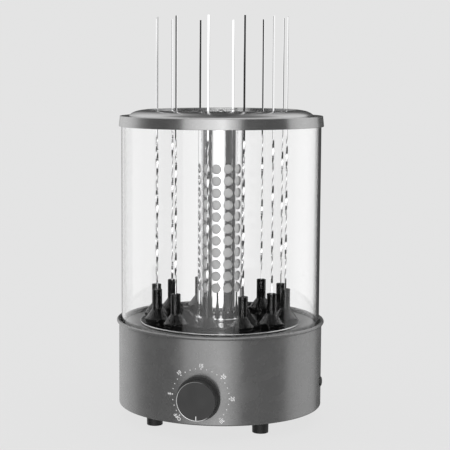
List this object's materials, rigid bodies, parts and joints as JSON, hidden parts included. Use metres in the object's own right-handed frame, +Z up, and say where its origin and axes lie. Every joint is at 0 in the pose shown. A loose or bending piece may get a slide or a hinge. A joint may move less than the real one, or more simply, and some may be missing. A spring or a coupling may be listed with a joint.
{
  "type": "electric skewer grill",
  "caption": "Upright electric skewer grill: flat skewers stand in geared turning cups round a perforated heater column, inside a glass cylinder with a metal lid ring, on a drum base with timer.",
  "frame": {"origin": "on the heater column's axis, at the surface that the feet stand on", "axes": "+Z up along the column; the timer knob faces -Y and the mains inlet faces +X"},
  "size_m": [0.2506, 0.2683, 0.4823],
  "materials": {
    "housing_paint": "satin metallic",
    "zinc_steel": "satin",
    "black_rubber": "matte",
    "screw_steel": "satin",
    "deck_paint": "satin metallic",
    "tray_paint": "satin",
    "nylon": "satin",
    "gloss_black": "gloss",
    "motor_case": "satin",
    "timer_case": "matte",
    "knob_plastic": "satin",
    "chrome": "polished",
    "skewer_chrome": "polished",
    "frosted_quartz": "frosted",
    "ceramic": "matte",
    "heating_wire": "oxidised",
    "clear_glass": "clear",
    "lid_paint": "satin metallic",
    "white_silicone": "matte",
    "gland_plastic": "satin",
    "ivory_plastic": "matte",
    "lead_silicone": "satin"
  },
  "bodies": {
    "base": {"base_housing": "housing_paint", "bottom_plate": "zinc_steel", "rubber_feet": "black_rubber", "foot_screws": "screw_steel", "case_screws": "screw_steel", "deck_plate": "deck_paint", "glass_seal": "black_rubber", "drip_tray": "tray_paint", "spindle_pins": "screw_steel", "centre_pillar": "zinc_steel", "thrust_washer": "nylon", "drive_motor": "motor_case", "motor_bracket": "zinc_steel", "small_screws": "screw_steel", "timer_body": "timer_case", "column_flange": "chrome", "heater_tube": "chrome", "quartz_sleeve": "frosted_quartz", "heater_core": "ceramic", "heating_coil": "heating_wire", "tie_rod": "screw_steel", "column_cap": "zinc_steel", "guide_plate": "chrome", "top_nut": "screw_steel", "cord_gland": "gland_plastic", "terminal_block": "ivory_plastic", "internal_leads": "lead_silicone"},
    "turntable": {"centre_gear": "gloss_black", "hub_gear": "nylon"},
    "pinion": {"drive_pinion": "nylon", "motor_shaft": "screw_steel"},
    "knob": {"timer_knob": "knob_plastic", "timer_shaft": "screw_steel"},
    "glass": {"glass_cylinder": "clear_glass"},
    "lid": {"lid_ring": "lid_paint", "lid_gasket": "white_silicone"},
    "cup_01": {"skewer_cup_01": "gloss_black"},
    "skewer_01": {"skewer_01": "skewer_chrome"},
    "cup_02": {"skewer_cup_02": "gloss_black"},
    "skewer_02": {"skewer_02": "skewer_chrome"},
    "cup_03": {"skewer_cup_03": "gloss_black"},
    "skewer_03": {"skewer_03": "skewer_chrome"},
    "cup_04": {"skewer_cup_04": "gloss_black"},
    "skewer_04": {"skewer_04": "skewer_chrome"},
    "cup_05": {"skewer_cup_05": "gloss_black"},
    "skewer_05": {"skewer_05": "skewer_chrome"},
    "cup_06": {"skewer_cup_06": "gloss_black"},
    "skewer_06": {"skewer_06": "skewer_chrome"},
    "cup_07": {"skewer_cup_07": "gloss_black"},
    "skewer_07": {"skewer_07": "skewer_chrome"},
    "cup_08": {"skewer_cup_08": "gloss_black"},
    "skewer_08": {"skewer_08": "skewer_chrome"},
    "cup_09": {"skewer_cup_09": "gloss_black"},
    "skewer_09": {"skewer_09": "skewer_chrome"},
    "cup_10": {"skewer_cup_10": "gloss_black"},
    "skewer_10": {"skewer_10": "skewer_chrome"},
    "cup_11": {"skewer_cup_11": "gloss_black"},
    "skewer_11": {"skewer_11": "skewer_chrome"},
    "cup_12": {"skewer_cup_12": "gloss_black"},
    "skewer_12": {"skewer_12": "skewer_chrome"}
  },
  "joints": [
    {"name": "turntable_spin", "type": "hinge", "parent": "base", "child": "turntable", "pos_m": [0, 0, 0.119], "axis": [0, 0, 1], "continuous": true},
    {"name": "pinion_spin", "type": "hinge", "parent": "base", "child": "pinion", "pos_m": [0, 0.04875, 0.101], "axis": [0, 0, 1], "continuous": true},
    {"name": "knob_turn", "type": "hinge", "parent": "base", "child": "knob", "pos_m": [0, -0.1225, 0.0506], "axis": [0, 1, 0], "range_deg": [0, 315]},
    {"name": "glass_lift", "type": "slide", "parent": "base", "child": "glass", "axis": [0, 0, 1], "range_m": [0, 0.37]},
    {"name": "lid_lift", "type": "slide", "parent": "glass", "child": "lid", "axis": [0, 0, 1], "range_m": [0, 0.13]},
    {"name": "cup_01_spin", "type": "hinge", "parent": "base", "child": "cup_01", "pos_m": [0, -0.07938, 0.12], "axis": [0, 0, 1], "continuous": true},
    {"name": "skewer_01_lift", "type": "slide", "parent": "cup_01", "child": "skewer_01", "axis": [0, 0, 1], "range_m": [0, 0.24]},
    {"name": "cup_02_spin", "type": "hinge", "parent": "base", "child": "cup_02", "pos_m": [0.03969, -0.06874, 0.12], "axis": [0, 0, 1], "continuous": true},
    {"name": "skewer_02_lift", "type": "slide", "parent": "cup_02", "child": "skewer_02", "axis": [0, 0, 1], "range_m": [0, 0.24]},
    {"name": "cup_03_spin", "type": "hinge", "parent": "base", "child": "cup_03", "pos_m": [0.06874, -0.03969, 0.12], "axis": [0, 0, 1], "continuous": true},
    {"name": "skewer_03_lift", "type": "slide", "parent": "cup_03", "child": "skewer_03", "axis": [0, 0, 1], "range_m": [0, 0.24]},
    {"name": "cup_04_spin", "type": "hinge", "parent": "base", "child": "cup_04", "pos_m": [0.07938, 0, 0.12], "axis": [0, 0, 1], "continuous": true},
    {"name": "skewer_04_lift", "type": "slide", "parent": "cup_04", "child": "skewer_04", "axis": [0, 0, 1], "range_m": [0, 0.24]},
    {"name": "cup_05_spin", "type": "hinge", "parent": "base", "child": "cup_05", "pos_m": [0.06874, 0.03969, 0.12], "axis": [0, 0, 1], "continuous": true},
    {"name": "skewer_05_lift", "type": "slide", "parent": "cup_05", "child": "skewer_05", "axis": [0, 0, 1], "range_m": [0, 0.24]},
    {"name": "cup_06_spin", "type": "hinge", "parent": "base", "child": "cup_06", "pos_m": [0.03969, 0.06874, 0.12], "axis": [0, 0, 1], "continuous": true},
    {"name": "skewer_06_lift", "type": "slide", "parent": "cup_06", "child": "skewer_06", "axis": [0, 0, 1], "range_m": [0, 0.24]},
    {"name": "cup_07_spin", "type": "hinge", "parent": "base", "child": "cup_07", "pos_m": [0, 0.07938, 0.12], "axis": [0, 0, 1], "continuous": true},
    {"name": "skewer_07_lift", "type": "slide", "parent": "cup_07", "child": "skewer_07", "axis": [0, 0, 1], "range_m": [0, 0.24]},
    {"name": "cup_08_spin", "type": "hinge", "parent": "base", "child": "cup_08", "pos_m": [-0.03969, 0.06874, 0.12], "axis": [0, 0, 1], "continuous": true},
    {"name": "skewer_08_lift", "type": "slide", "parent": "cup_08", "child": "skewer_08", "axis": [0, 0, 1], "range_m": [0, 0.24]},
    {"name": "cup_09_spin", "type": "hinge", "parent": "base", "child": "cup_09", "pos_m": [-0.06874, 0.03969, 0.12], "axis": [0, 0, 1], "continuous": true},
    {"name": "skewer_09_lift", "type": "slide", "parent": "cup_09", "child": "skewer_09", "axis": [0, 0, 1], "range_m": [0, 0.24]},
    {"name": "cup_10_spin", "type": "hinge", "parent": "base", "child": "cup_10", "pos_m": [-0.07938, 0, 0.12], "axis": [0, 0, 1], "continuous": true},
    {"name": "skewer_10_lift", "type": "slide", "parent": "cup_10", "child": "skewer_10", "axis": [0, 0, 1], "range_m": [0, 0.24]},
    {"name": "cup_11_spin", "type": "hinge", "parent": "base", "child": "cup_11", "pos_m": [-0.06874, -0.03969, 0.12], "axis": [0, 0, 1], "continuous": true},
    {"name": "skewer_11_lift", "type": "slide", "parent": "cup_11", "child": "skewer_11", "axis": [0, 0, 1], "range_m": [0, 0.24]},
    {"name": "cup_12_spin", "type": "hinge", "parent": "base", "child": "cup_12", "pos_m": [-0.03969, -0.06874, 0.12], "axis": [0, 0, 1], "continuous": true},
    {"name": "skewer_12_lift", "type": "slide", "parent": "cup_12", "child": "skewer_12", "axis": [0, 0, 1], "range_m": [0, 0.24]}
  ],
  "couplings": [
    {"joint": "pinion_spin", "follows": "turntable_spin", "ratio": -2.8235},
    {"joint": "cup_01_spin", "follows": "turntable_spin", "ratio": -5.25},
    {"joint": "cup_02_spin", "follows": "turntable_spin", "ratio": -5.25},
    {"joint": "cup_03_spin", "follows": "turntable_spin", "ratio": -5.25},
    {"joint": "cup_04_spin", "follows": "turntable_spin", "ratio": -5.25},
    {"joint": "cup_05_spin", "follows": "turntable_spin", "ratio": -5.25},
    {"joint": "cup_06_spin", "follows": "turntable_spin", "ratio": -5.25},
    {"joint": "cup_07_spin", "follows": "turntable_spin", "ratio": -5.25},
    {"joint": "cup_08_spin", "follows": "turntable_spin", "ratio": -5.25},
    {"joint": "cup_09_spin", "follows": "turntable_spin", "ratio": -5.25},
    {"joint": "cup_10_spin", "follows": "turntable_spin", "ratio": -5.25},
    {"joint": "cup_11_spin", "follows": "turntable_spin", "ratio": -5.25},
    {"joint": "cup_12_spin", "follows": "turntable_spin", "ratio": -5.25}
  ]
}
